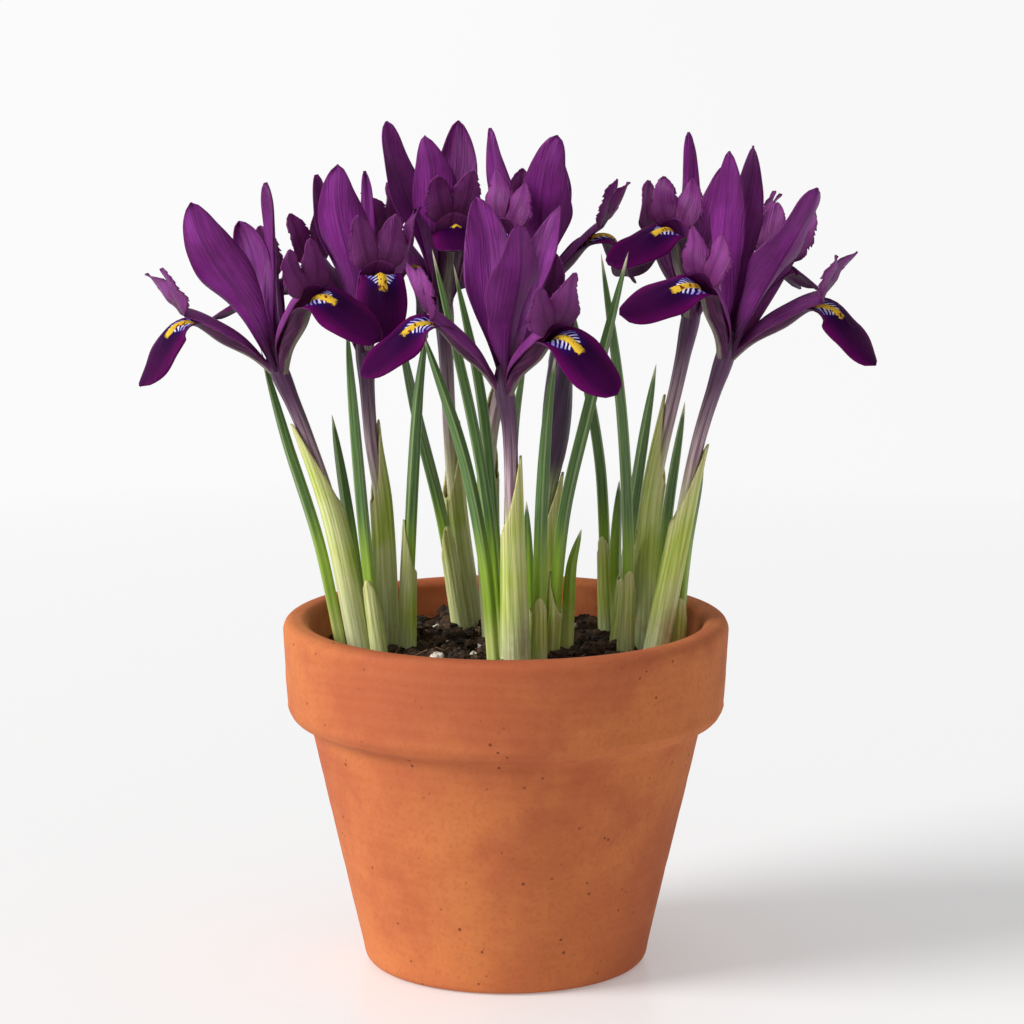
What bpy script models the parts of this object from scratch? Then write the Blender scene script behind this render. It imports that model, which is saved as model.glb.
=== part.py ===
"""A potted dwarf iris: seven open blooms, a bud and their leaves in a clay pot of peat.

Sizes are in millimetres, and MM makes them metres as each mesh is built. Z is up, the pot's axis
is Z, its foot stands at Z = 0, and the side that faces -Y is the front.
"""

import math
from bisect import bisect_right

import bmesh
import bpy
from mathutils import Quaternion, Vector

MM = 0.001
GAP = 0.3  # between pieces that touch on the real plant
WELD = 0.002  # corners this close are one

# The pot: a common 11 cm clay pot with a collar
POT_HEIGHT = 87.0
RIM_RADIUS = 55.0
COLLAR_LOW_RADIUS = 54.0
COLLAR_LOW = 66.0
COLLAR_FOOT = 61.5
LIP_OUTER_ROUND = 3.5
LIP_INNER_ROUND = 2.5
WALL_TOP_RADIUS = 48.0
WALL_TOP = 59.0
FOOT_RADIUS = 35.3
FOOT_ROUND = 3.2
MOUTH_RADIUS = 48.5
FLOOR_RADIUS = 30.5
FLOOR = 6.5
DRAIN_RADIUS = 5.8
POT_STEPS = 40

# The peat, and how deep what grows from it stands in it
SOIL_TOP = 78.0
SOIL_LUMP = 0.9
SOIL_STEPS = 24
ROOTED_DEPTH = 13.0
HOLE_DEPTH = ROOTED_DEPTH + 1.2

# The plants
PETAL_THICKNESS = 0.7
SHEATH_WALL = 0.7
TUBE_RADIUS = 1.65
THROAT_RADIUS = 3.1
LEAF_HALF_WIDTH = 1.55
CLAW_RADIUS = 2.1  # where the petals leave the throat
ARM_ROOT_RADIUS = 1.0  # where the style arms do
BLADE_HALF_WIDTH = 6.4
RIDGE_HEIGHT = 0.8
ARM_RISE = 5.2  # the style arm's height over the haft that it roofs
CREST_LENGTH = 12.0
ARM_SHARE = 4 / 7  # the share of a style's rows that are the arm, before the crest

COLOURS = {
    "clay": ((0.62, 0.25, 0.10), 0.75),
    "peat": ((0.045, 0.026, 0.017), 0.95),
    "petal": ((0.085, 0.012, 0.105), 0.5),
    "bud": ((0.05, 0.012, 0.06), 0.5),
    "sheath": ((0.42, 0.47, 0.22), 0.6),
    "leaf": ((0.07, 0.16, 0.05), 0.45),
}

# Each stem's centre line from the soil to its bloom's throat
STEMS = {
    "left": ((-35.5, -3, 78), (-42, -1, 111), (-49, 1, 132), (-56, 2, 149)),
    "left_back": ((-29.5, 8, 78), (-31, 11, 113), (-33.5, 12.5, 130), (-35, 14, 152)),
    "back_left": ((-9, 31, 78), (-13, 31, 110), (-15, 29, 146), (-15.5, 28, 160)),
    "back_centre": ((-3, 10, 78), (-4.5, 12, 110), (-3, 15, 134), (5.5, 18, 162)),
    "front_centre": ((2.5, -20, 78), (1.5, -21, 110), (1, -23, 137), (-0.5, -24, 148)),
    "right_back": ((34, 8, 78), (36.5, 16, 113), (43.5, 23, 145), (46.5, 26, 159)),
    "right": ((36.5, -6, 78), (42, -6, 107), (47, -6, 132), (53.5, -8, 154)),
}

# Each bloom's falls: the knee where the haft bends over, the blade's tip, the blade's roll and the
# turn of the crest over it. Then its standards: the tip, the half width and the roll. In degrees.
BLOOMS = {
    "left": dict(
        falls=(
            ((-78, 1, 160.5), (-89, -5, 145), -22, 30),
            ((-46, -13, 168), (-30, -20, 158.5), 15, 0),
            ((-60, 18, 167), (-74, 30, 157), 0, 0),
        ),
        standards=(((-76, -6, 190), 7.2, 0), ((-59, 12, 193), 4.5, 0), ((-66, 17, 183), 6, 0)),
    ),
    "left_back": dict(
        falls=(
            ((-31, 2, 172), (-30, -11, 157), 0, 0),
            ((-24, 17, 172), (-19.5, 17, 154), 0, 0),
            ((-48, 25, 171), (-57, 40, 162), 0, 0),
        ),
        standards=(((-41, 6, 198), 7, 0), ((-47, 22, 194), 6, 0), ((-35, 21, 195), 3, 0)),
    ),
    "back_left": dict(
        falls=(
            ((-13, 18, 182), (-12, 3, 177), 0, 0),
            ((-14, 45, 177), (-13, 55, 161), 0, 0),
            ((-30, 36, 176), (-41, 47, 166), 0, 0),
        ),
        standards=(((-20, 18, 204), 7, 0), ((-30, 36, 206), 6.5, 0), ((-12, 38, 206), 6.5, 0)),
    ),
    "back_centre": dict(
        falls=(
            ((-1, 6, 182), (-1, -3, 165), 0, 0),
            ((23, 19, 180), (32, 26, 167), 0, -30),
            ((5, 35, 179), (5, 49, 168), 0, 0),
        ),
        standards=(((12.5, 8, 205), 7, 0), ((-4, 28, 205), 4, 0), ((12, 32, 200), 6.5, 0)),
    ),
    "front_centre": dict(
        falls=(
            ((-18, -27, 164), (-34, -34, 152), -20, 15),
            ((12, -38, 162), (26, -45, 149), 20, -15),
            ((9, -12, 166), (10, 4, 156), 0, 0),
        ),
        standards=(((-7, -12, 192), 6.5, 0), ((1, -40, 189), 7.5, 0), ((13, -12, 190), 6, 0)),
    ),
    "right_back": dict(
        falls=(
            ((41, 15, 181), (25, 4, 174), -15, 0),
            ((63, 30, 176), (74, 33, 164), 0, 0),
            ((37, 40, 176), (30, 52, 165), 0, 0),
        ),
        standards=(((45, 17, 205), 3, 0), ((55, 36, 195), 6, 0), ((40, 38, 192), 6, 0)),
    ),
    "right": dict(
        falls=(
            ((46, -22, 172), (27, -29, 166), -15, 0),
            ((76, -10, 166), (89, -16, 152), 22, -30),
            ((66, 4, 175), (77, 12, 167), 0, 0),
        ),
        standards=(((53.5, -12, 203), 5.6, 50), ((60, 2, 203), 5, 0), ((74, -19, 195), 8, 0)),
    ),
}

BUD_STEM = ((10.5, 2, 78), (10.5, 5, 113), (12, 8, 130), (13.5, 11, 150), (15, 13, 168))

# The papery sheath round the foot of each shoot: where its point stands, the turn of that point
# and the sheath's outer radius at its foot and at its mouth
SHEATHS = {
    "left": (135, 200, 3.2, 3.0),
    "left_back": (134, 20, 3.2, 2.8),
    "back_left": (131, 30, 3.3, 3.0),
    "back_centre": (142, 150, 2.9, 2.8),
    "front_centre": (131, 0, 4.0, 2.8),
    "right_back": (139, 170, 3.2, 2.9),
    "right": (131, 0, 3.2, 2.9),
}
BUD_SHEATH = (122, 0, 2.9, 3.4)

# Each leaf's centre line from the soil to its tip
LEAVES = {
    "leaf_01": ((-40.5, -0.5, 78), (-46, 1, 105), (-54, 5, 130), (-60.5, 10, 152)),
    "leaf_02": ((-35, 5, 78), (-38.5, 7, 107), (-43, 9, 136)),
    "leaf_03": ((-31, -6, 78), (-34, -3, 101), (-37.5, 1, 140), (-39, 3, 160)),
    "leaf_04": ((-24.5, 3, 78), (-24, 2.5, 98), (-21.5, -2, 141), (-19, -6, 161)),
    "leaf_05": ((-11.5, 25, 78), (-16, 26, 106), (-22, 23, 132), (-27, 16, 158)),
    "leaf_06": ((-1.5, -7, 78), (-4.5, -4, 114), (-9, -2, 140), (-18, 1, 178)),
    "leaf_07": ((-3, -15, 78), (-5, -14, 102), (-10.5, -12, 130), (-20.5, -14, 161)),
    "leaf_08": ((-1, 0, 78), (-3, 3, 108), (-6, 7, 140), (-13, 14, 173)),
    "leaf_09": ((2, -9, 78), (1, -9, 112), (2, -9, 135), (5, -10, 154)),
    "leaf_10": ((6, -11.5, 78), (5.5, -11.5, 100), (5, -11.5, 118)),
    "leaf_11": ((8, -16, 78), (8.5, -15, 113), (10, -14, 138), (12, -12, 154)),
    "leaf_12": ((11, -8, 78), (14, -10, 113), (19.5, -10, 138), (29.5, -12, 179)),
    "leaf_13": ((25.5, 24, 78), (24, 22, 117), (21, 20, 138), (15, 16, 167)),
    "leaf_14": ((29.5, 0, 78), (30, -2, 106), (28, -4, 141), (23, -6, 178)),
    "leaf_15": ((28, 8, 78), (31, 8, 108), (34, 8, 130), (37, 7, 149)),
    "leaf_16": ((38.5, 3, 78), (39.5, 3, 108), (44, 4, 140)),
    "leaf_17": ((42, 0, 78), (44.5, -1, 105), (48.5, -1, 124)),
    "leaf_18": ((15, -5, 78), (16, -6, 100), (18.5, -6, 110)),
    "leaf_19": ((28, 17, 78), (27.4, 17.3, 98), (28.3, 17.8, 118)),
}


def along(keys, place):
    """The value at this place of a smooth curve through the keys, each (place, value)."""
    last = len(keys) - 1
    here = min(max(bisect_right([key[0] for key in keys], place) - 1, 0), last - 1)
    (start, low), (end, high) = keys[here], keys[here + 1]

    def slope(key):
        before, after = keys[max(key - 1, 0)], keys[min(key + 1, last)]
        return (after[1] - before[1]) / (after[0] - before[0])

    span = end - start
    part = (place - start) / span
    rise = part * part * (3 - 2 * part)
    return (
        low + (high - low) * rise
        + slope(here) * span * part * (1 - part) ** 2
        - slope(here + 1) * span * part * part * (1 - part)
    )


class Route:
    """A smooth curve through points in space, read by the share of its length."""

    def __init__(self, points):
        points = [Vector(point) for point in points]
        travelled = [0.0]
        for before, after in zip(points, points[1:]):
            travelled.append(travelled[-1] + (after - before).length)
        self.length = travelled[-1]
        self.keys = [
            [(far / self.length, point[axis]) for far, point in zip(travelled, points)]
            for axis in range(3)
        ]

    def point(self, place):
        return Vector([along(keys, place) for keys in self.keys])

    def heading(self, place):
        step = 0.01
        return (self.point(min(place + step, 1)) - self.point(max(place - step, 0))).normalized()

    def at_height(self, height):
        """The share of the length at which the curve passes this height."""
        low, high = 0.0, 1.0
        for _ in range(30):
            middle = (low + high) / 2
            if self.point(middle).z < height:
                low = middle
            else:
                high = middle
        return low


def rooted(points):
    """A curve's points with one more below the soil, straight on from its first stretch."""
    foot, after = Vector(points[0]), Vector(points[1])
    down = (foot - after) / (after.z - foot.z)
    return [foot + down * ROOTED_DEPTH, *map(Vector, points)]


def clear_scene():
    for item in list(bpy.data.objects):
        bpy.data.objects.remove(item)
    for name in ("potted_dwarf_iris", "cutters"):
        bpy.context.scene.collection.children.link(bpy.data.collections.new(name))
    bpy.data.collections["cutters"].hide_render = True


def material(name):
    found = bpy.data.materials.get(name)
    if found:
        return found
    colour, roughness = COLOURS[name]
    made = bpy.data.materials.new(name)
    made.use_nodes = True
    made.diffuse_color = (*colour, 1)
    shader = made.node_tree.nodes["Principled BSDF"]
    shader.inputs["Base Color"].default_value = (*colour, 1)
    shader.inputs["Roughness"].default_value = roughness
    shader.inputs["Metallic"].default_value = 0
    return made


def add_object(name, data, finish, collection="potted_dwarf_iris"):
    item = bpy.data.objects.new(name, data)
    data.materials.append(material(finish))
    bpy.data.collections[collection].objects.link(item)
    return item


def as_mesh(item, name, finish):
    """The object as its modifiers leave it, made a plain mesh with its caps welded."""
    bpy.context.view_layer.update()
    evaluated = item.evaluated_get(bpy.context.evaluated_depsgraph_get())
    data = bpy.data.meshes.new_from_object(evaluated)
    data.transform(item.matrix_world)
    collection = item.users_collection[0].name
    bpy.data.objects.remove(item)
    welded = bmesh.new()
    welded.from_mesh(data)
    bmesh.ops.remove_doubles(welded, verts=welded.verts, dist=WELD * MM)
    bmesh.ops.recalc_face_normals(welded, faces=welded.faces)
    welded.to_mesh(data)
    welded.free()
    data.name = name
    data.materials.clear()
    data.shade_smooth()
    data.set_sharp_from_angle(angle=math.radians(40))
    return add_object(name, data, finish, collection)


def drop_scraps(item):
    """Leaves only the object's largest connected body."""
    shape = bmesh.new()
    shape.from_mesh(item.data)
    unseen, largest = set(shape.verts), set()
    while unseen:
        body = set()
        border = [unseen.pop()]
        while border:
            corner = border.pop()
            body.add(corner)
            near = {edge.other_vert(corner) for edge in corner.link_edges} & unseen
            unseen -= near
            border += near
        largest = max(largest, body, key=len)
    bmesh.ops.delete(shape, geom=[v for v in shape.verts if v not in largest], context="VERTS")
    shape.to_mesh(item.data)
    shape.free()


def turned(name, profile, finish, steps, closed):
    """A turned solid: the profile's (radius, height) points spun round Z."""
    data = bpy.data.meshes.new(name)
    outline = bmesh.new()
    corners = [outline.verts.new((radius * MM, 0, height * MM)) for radius, height in profile]
    for before, after in zip(corners, corners[1:] + corners[:1] if closed else corners[1:]):
        outline.edges.new((before, after))
    outline.to_mesh(data)
    outline.free()
    item = add_object(name, data, finish)
    screw = item.modifiers.new("Screw", "SCREW")
    screw.steps = screw.render_steps = steps
    screw.use_merge_vertices = not closed
    screw.merge_threshold = 0.0001
    return item


def arc(centre, radius, first, last, steps):
    """Points of an arc in a profile, in degrees anticlockwise from outwards."""
    turns = [math.radians(first + (last - first) * step / steps) for step in range(steps + 1)]
    return [
        (centre[0] + radius * math.cos(turn), centre[1] + radius * math.sin(turn))
        for turn in turns
    ]


def mouth_radius_at(height):
    slope = (MOUTH_RADIUS - FLOOR_RADIUS) / (POT_HEIGHT - LIP_INNER_ROUND - FLOOR)
    return FLOOR_RADIUS + slope * (height - FLOOR)


def make_pot():
    inner, outer = LIP_INNER_ROUND, LIP_OUTER_ROUND
    collar_round = COLLAR_LOW - COLLAR_FOOT
    profile = [
        *arc((MOUTH_RADIUS + inner, POT_HEIGHT - inner), inner, 180, 90, 2),
        *arc((RIM_RADIUS - outer, POT_HEIGHT - outer), outer, 90, 0, 3),
        *arc((COLLAR_LOW_RADIUS - collar_round, COLLAR_LOW), collar_round, 0, -80, 2),
        (WALL_TOP_RADIUS + 0.6, COLLAR_FOOT - 0.6),
        (WALL_TOP_RADIUS, WALL_TOP),
        *arc((FOOT_RADIUS - FOOT_ROUND, FOOT_ROUND), FOOT_ROUND, -8, -90, 2),
        (DRAIN_RADIUS, 0),
        (DRAIN_RADIUS, FLOOR),
        (FLOOR_RADIUS, FLOOR),
    ]
    pot = turned("pot", profile, "clay", POT_STEPS, closed=True)
    as_mesh(pot, "pot", "clay")


def lump(x, y):
    """How far the peat's surface lies over its level at this place."""
    return SOIL_LUMP * (
        math.sin(0.31 * x + 1.3) * math.cos(0.27 * y)
        + 0.6 * math.sin(0.52 * x - 0.44 * y + 2)
        + 0.4 * math.cos(0.71 * y + 0.35 * x)
    )


def make_soil():
    rings = (0, 9, 18, 27, 36, 42)
    side = mouth_radius_at(SOIL_TOP) - GAP
    foot = FLOOR_RADIUS - GAP
    bottom = FLOOR + GAP
    profile = [(radius, SOIL_TOP) for radius in rings]
    profile += [(side, SOIL_TOP), (foot + 0.1, bottom), (0, bottom)]
    soil = turned("soil", profile, "peat", SOIL_STEPS, closed=False)
    soil = as_mesh(soil, "soil", "peat")
    for corner in soil.data.vertices:
        x, y = corner.co.x / MM, corner.co.y / MM
        if corner.co.z / MM > SOIL_TOP - 1 and math.hypot(x, y) < side - 1:
            corner.co.z += lump(x, y) * MM
    return soil


def rod(name, points, radii, finish, steps, roundness=0, collection="potted_dwarf_iris"):
    """A round or four-sided rod along a smooth route: radii are (share of its length, radius)."""
    route = Route(points)
    data = bpy.data.curves.new(name, "CURVE")
    data.dimensions = "3D"
    data.bevel_depth = MM
    data.bevel_resolution = roundness
    data.use_fill_caps = True
    data.twist_mode = "Z_UP"
    spline = data.splines.new("POLY")
    spline.points.add(steps)
    for index, corner in enumerate(spline.points):
        place = index / steps
        corner.co = (*(route.point(place) * MM), 1)
        corner.radius = along(radii, place)
    item = add_object(name, data, finish, collection)
    return as_mesh(item, name, finish)


def sheet(name, rows, columns, place, thickness, finish, collection, round_trip=False):
    """A thin solid: a grid whose corners place(across, share) moves, -1 to 1 across and 0 to 1 along.

    A corner for which it gives nothing is left out.
    """
    shape = bmesh.new()
    bmesh.ops.create_grid(shape, x_segments=columns, y_segments=rows, size=1)
    left_out = []
    for corner in shape.verts:
        point = place(corner.co.x, (corner.co.y + 1) / 2)
        if point is None:
            left_out.append(corner)
        else:
            corner.co = point * MM
    bmesh.ops.delete(shape, geom=left_out, context="VERTS")
    bmesh.ops.remove_doubles(shape, verts=shape.verts, dist=0.02 * MM)
    bmesh.ops.triangulate(shape, faces=shape.faces)
    if round_trip:
        bmesh.ops.recalc_face_normals(shape, faces=shape.faces)
    data = bpy.data.meshes.new(name)
    shape.to_mesh(data)
    shape.free()
    item = add_object(name, data, finish, collection)
    wall = item.modifiers.new("Wall", "SOLIDIFY")
    wall.thickness = thickness * MM
    wall.offset = 0
    return item


def petal(name, points, up, half_widths, cups, shape, rolls=((0, 0), (1, 0)), swell=None):
    """A petal along a route, its inner face turned to the bloom's axis and rolled by these degrees."""
    route = Route(points)

    def place(across, share):
        heading = route.heading(share)
        width_way = up.cross(points[-1] - points[0])
        width_way = (width_way - heading * width_way.dot(heading)).normalized()
        width_way.rotate(Quaternion(heading, math.radians(along(rolls, share))))
        inward = heading.cross(width_way)
        half = max(along(half_widths, share), 0)
        lift = along(cups, share) * half * across * across
        if swell:
            lift += swell(across, share)
        return route.point(share) + width_way * half * across + inward * lift

    rows, columns = shape
    return sheet(name, rows, columns, place, PETAL_THICKNESS, "petal", name.split(".")[0])


def ridge(across, share):
    """The raised ridge down the middle of a fall's blade."""
    if abs(across) > 0.1 or not 0.55 < share < 0.85:
        return 0
    return RIDGE_HEIGHT


def make_fall(name, throat, axis, knee, tip, roll):
    """A fall: its haft climbs to the knee, and its blade hangs from there."""
    rise, drop = knee - throat, tip - knee
    out = (rise - axis * rise.dot(axis)).normalized()
    points = [throat + out * CLAW_RADIUS - axis * 2, throat + rise * 0.3 - axis * 1.7]
    points += [throat + rise * 0.65 - axis * 1.7, knee - rise * 0.06 - axis * 0.4]
    points += [knee + out * 2.2 + drop * 0.06]
    points += [knee + out * 2.2 + drop * 0.36, knee + out * 1.2 + drop * 0.68, tip]
    widths = ((0, 0.7), (0.08, 0.9), (0.2, 2.2), (0.4, 3.5), (0.52, 4.2), (0.64, 5.4),
              (0.8, BLADE_HALF_WIDTH), (0.93, 5.6), (1, 2))
    cups = ((0, 0.2), (0.2, 0.7), (0.42, 0.75), (0.54, 0.2), (0.7, -0.25), (1, -0.3))
    rolls = ((0, 0), (0.45, 0), (0.65, roll), (1, roll))
    petal(name, points, axis, widths, cups, (7, 4), rolls, ridge)


def make_style(name, throat, axis, knee, turn):
    """The style arm that roofs a haft, with the two crest lobes that stand up at its end."""
    rise = knee - throat
    out = (rise - axis * rise.dot(axis)).normalized()
    side = axis.cross(out)
    spread = Quaternion(axis, math.radians(turn)) @ side
    over = axis * ARM_RISE
    points = [throat + out * ARM_ROOT_RADIUS - axis, throat + rise * 0.3 + over * 0.8]
    points += [throat + rise * 0.65 + over, throat + rise + over * 0.9]
    arm = Route(points)
    end = arm.point(1)

    def place(across, share):
        if share <= ARM_SHARE:
            share /= ARM_SHARE
            half = along(((0, 0.5), (0.12, 0.7), (0.4, 2.5), (0.8, 3.6), (1, 3.6)), share)
            droop = half * along(((0, 0.2), (0.5, 0.3), (1, 0.25)), share) * across * across
            return arm.point(share) + side * half * across - axis * droop
        if abs(across) < 0.1:
            return None
        up = (share - ARM_SHARE) / (1 - ARM_SHARE)
        margin = abs(across) > 0.9
        outer = along(((0, 3.6), (0.35, 7.0), (0.7, 7.4), (1, 5.4)), up)
        inner = along(((0, 1.8), (0.35, 0.9), (0.7, 1.9), (1, 4.2)), up)
        away = along(((0, 0), (0.4, 2.2), (1, 3.4)), up) - (1.4 if margin else 0)
        sideways = math.copysign(outer if margin else inner, across)
        return end + spread * sideways + out * away + axis * (CREST_LENGTH * up - 1.0)

    sheet(name, 7, 4, place, PETAL_THICKNESS, "petal", name.split(".")[0])


def make_standard(name, throat, axis, tip, half_width, roll):
    reach = tip - throat
    out = (reach - axis * reach.dot(axis)).normalized()
    points = [throat + out * CLAW_RADIUS - axis * 1.5, throat + reach * 0.3 + out * 0.8]
    points += [throat + reach * 0.6 + out * 1.2, throat + reach * 0.85 + out * 0.6, tip]
    widths = ((0, 0.7), (0.1, 0.9), (0.22, 1.5), (0.45, half_width * 0.55), (0.68, half_width),
              (0.85, half_width * 0.8), (1, 0.6))
    cups = ((0, 0.4), (0.5, 0.35), (1, 0.1))
    petal(name, points, axis, widths, cups, (5, 2), ((0, 0), (0.4, roll), (1, roll)))


def make_bloom(place):
    """A bloom and the tube that carries it, fused in one body that stands in the soil."""
    name = "bloom_" + place
    pieces = bpy.data.collections.new(name)
    bpy.context.scene.collection.children.link(pieces)
    stem = Route(STEMS[place])
    throat, axis = stem.point(1), stem.heading(1)
    spec = BLOOMS[place]
    for index, (knee, tip, roll, turn) in enumerate(spec["falls"]):
        make_fall(f"{name}.fall{index}", throat, axis, Vector(knee), Vector(tip), roll)
        make_style(f"{name}.style{index}", throat, axis, Vector(knee), turn)
    for index, (tip, half_width, roll) in enumerate(spec["standards"]):
        make_standard(f"{name}.standard{index}", throat, axis, Vector(tip), half_width, roll)
    points = rooted(STEMS[place])
    points.append(throat + axis * 2.5)
    radii = ((0, TUBE_RADIUS), (0.7, TUBE_RADIUS), (0.87, TUBE_RADIUS + 0.2),
             (0.96, THROAT_RADIUS), (1, THROAT_RADIUS))
    tube = rod(name, points, radii, "petal", 7, roundness=1)
    union = tube.modifiers.new("Petals", "BOOLEAN")
    union.operation = "UNION"
    union.operand_type = "COLLECTION"
    union.collection = pieces
    union.solver = "MANIFOLD"
    drop_scraps(as_mesh(tube, name, "petal"))
    for item in list(pieces.objects):
        bpy.data.objects.remove(item)
    bpy.data.collections.remove(pieces)


def make_bud():
    """The rolled bud, whose three petals wrap each other in a spiral."""
    stem = Route(rooted(BUD_STEM))
    radii = ((0, 1.5), (0.46, 1.5), (0.52, 1.9), (0.62, 3.2), (0.71, 3.6), (0.83, 2.8),
             (0.92, 1.4), (1, 0.5))

    def place(across, share):
        turn = across * math.pi
        radius = along(radii, share)
        radius *= 1 + 0.1 * math.cos(3 * (turn - 3 * share))
        return stem.point(share) + Vector((math.cos(turn), math.sin(turn), 0)) * radius

    shape = bmesh.new()
    bmesh.ops.create_grid(shape, x_segments=9, y_segments=12, size=1)
    for corner in shape.verts:
        corner.co = place(corner.co.x, (corner.co.y + 1) / 2) * MM
    bmesh.ops.remove_doubles(shape, verts=shape.verts, dist=0.02 * MM)
    bmesh.ops.holes_fill(shape, edges=[edge for edge in shape.edges if edge.is_boundary])
    bmesh.ops.triangulate(shape, faces=shape.faces)
    bmesh.ops.recalc_face_normals(shape, faces=shape.faces)
    data = bpy.data.meshes.new("bud")
    shape.to_mesh(data)
    shape.free()
    data.shade_smooth()
    add_object("bud", data, "bud")


def make_sheath(name, points, spec):
    """A papery sheath round a stem's foot, drawn up to a point on one side."""
    tip_height, tip_turn, foot_radius, mouth_radius = spec
    stem = Route(rooted(points))
    tip_share = stem.at_height(tip_height)

    def place(across, share):
        turn = across * math.pi
        tall = (1 + math.cos(turn - math.radians(tip_turn))) / 2
        far = tip_share * share * (0.72 + 0.28 * tall ** 2)
        radius = foot_radius + (mouth_radius - foot_radius) * share - SHEATH_WALL / 2
        return stem.point(far) + Vector((math.cos(turn), math.sin(turn), 0)) * radius

    item = sheet(name, 4, 8, place, SHEATH_WALL, "sheath", "potted_dwarf_iris", True)
    as_mesh(item, name, "sheath")


def make_leaf(name, points):
    half = LEAF_HALF_WIDTH
    radii = ((0, half), (0.5, half), (0.75, half * 0.85), (0.9, half * 0.5), (1, 0.15))
    rod(name, rooted(points), radii, "leaf", 7)


def cut_holes(soil):
    """A plain hole in the soil for each thing that stands in it."""
    feet = [(STEMS[place], SHEATHS[place][2]) for place in STEMS]
    feet.append((BUD_STEM, BUD_SHEATH[2]))
    feet += [(points, LEAF_HALF_WIDTH) for points in LEAVES.values()]
    for index, (points, radius) in enumerate(feet):
        foot, after = Vector(points[0]), Vector(points[1])
        rise = (after - foot) / (after.z - foot.z)
        line = [foot - rise * HOLE_DEPTH, foot, foot + rise * 6]
        wide = (radius + GAP) / math.cos(math.pi / 6)  # the hole is six-sided
        rod(f"hole_{index}", line, ((0, wide), (1, wide)), "peat", 1, 1, "cutters")
    cut = soil.modifiers.new("Holes", "BOOLEAN")
    cut.operand_type = "COLLECTION"
    cut.collection = bpy.data.collections["cutters"]
    as_mesh(soil, "soil", "peat")
    for cutter in bpy.data.collections["cutters"].objects:
        cutter.hide_render = True
        cutter.display_type = "WIRE"


def main():
    clear_scene()
    make_pot()
    soil = make_soil()
    for place in STEMS:
        make_bloom(place)
        make_sheath("sheath_" + place, STEMS[place], SHEATHS[place])
    make_bud()
    make_sheath("sheath_bud", BUD_STEM, BUD_SHEATH)
    for name, points in LEAVES.items():
        make_leaf(name, points)
    cut_holes(soil)


main()
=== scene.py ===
"""The looks of a potted dwarf iris: petals, leaves, papery sheaths, peat and fired clay.

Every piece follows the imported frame. Sizes are in millimetres, and MM makes them metres as each
mesh is finished. Heights count from the surface that the pot stands on.
"""

import math
import random
from bisect import bisect_right

import bmesh
import bpy
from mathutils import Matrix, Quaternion, Vector, noise


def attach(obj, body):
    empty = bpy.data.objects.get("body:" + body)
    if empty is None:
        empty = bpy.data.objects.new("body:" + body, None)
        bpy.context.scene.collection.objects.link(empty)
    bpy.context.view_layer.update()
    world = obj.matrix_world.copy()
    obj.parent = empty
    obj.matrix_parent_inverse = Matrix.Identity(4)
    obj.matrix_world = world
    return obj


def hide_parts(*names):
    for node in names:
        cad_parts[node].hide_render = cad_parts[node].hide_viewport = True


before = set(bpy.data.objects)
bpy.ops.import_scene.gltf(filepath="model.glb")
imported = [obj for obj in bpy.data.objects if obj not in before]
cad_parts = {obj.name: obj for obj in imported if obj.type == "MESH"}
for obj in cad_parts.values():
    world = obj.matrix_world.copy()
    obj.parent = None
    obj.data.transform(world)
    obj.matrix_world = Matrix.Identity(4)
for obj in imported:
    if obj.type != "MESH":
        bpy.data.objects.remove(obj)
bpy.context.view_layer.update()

MM = 0.001
UP = Vector((0, 0, 1))

# The camera that the photograph was taken with, and the stage
CAMERA_PLACE = (1.5, -1000, 295)
CAMERA_PITCH = 10.31  # degrees below level
CAMERA_LENS = 145.3
CAMERA_SENSOR = 36
KEY_FROM = (-0.84, -0.3, 0.48)
KEY_STRENGTH = 3.2
KEY_SPREAD = 30.0  # degrees, for a soft shadow
SKY_STRENGTH = 0.5
# The table's own glow, painted 0.03 weaker towards the right as painted light
FLOOR_GLOW = 0.235
FLOOR_REACH = 8  # metres, half the table's width

# The pot
POT_HEIGHT = 87.0
RIM_RADIUS = 55.0
COLLAR_LOW_RADIUS = 54.0
COLLAR_LOW = 66.0
COLLAR_FOOT = 61.5
WALL_TOP_RADIUS = 48.0
WALL_TOP = 59.0
FOOT_RADIUS = 35.3
FOOT_ROUND = 3.2
MOUTH_RADIUS = 48.5
LIP_OUTER_ROUND = 2.8
LIP_INNER_ROUND = 2.5
FLOOR_RADIUS = 30.5
FLOOR = 6.5
FLOOR_ROUND = 2.0
DRAIN_RADIUS = 5.8
POT_STEPS = 180
RING_DEPTH = 0.14  # how far the turning marks stand in and out
SWAY_DEPTH = 0.2  # how far the pot is from true

# The peat
SOIL_TOP = 78.0
SOIL_LUMP = 0.9
SOIL_GAP = 0.5  # between the peat and the pot's wall
SOIL_RISE = 0.915  # how far up the inner wall the peat's surface lies
SOIL_TOP_SHARE = 0.86  # of the peat's sheet, which the surface takes
SOIL_SIDE_SHARE = 0.93
ROOTED_DEPTH = 13.0
CRUMBS = 1500
FIBRES = 170
GRAINS = 34
NEAR_GRAINS = (
    (-17, -20, 1.6), (-9, -34, 1.5), (-43, -14, 1.4), (-2, -33, 1.0), (29, -30, 1.1),
    (19, -28, 0.8), (-20, -12, 1.1), (-36, -22, 0.9), (17, -36, 0.9),
)

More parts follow.
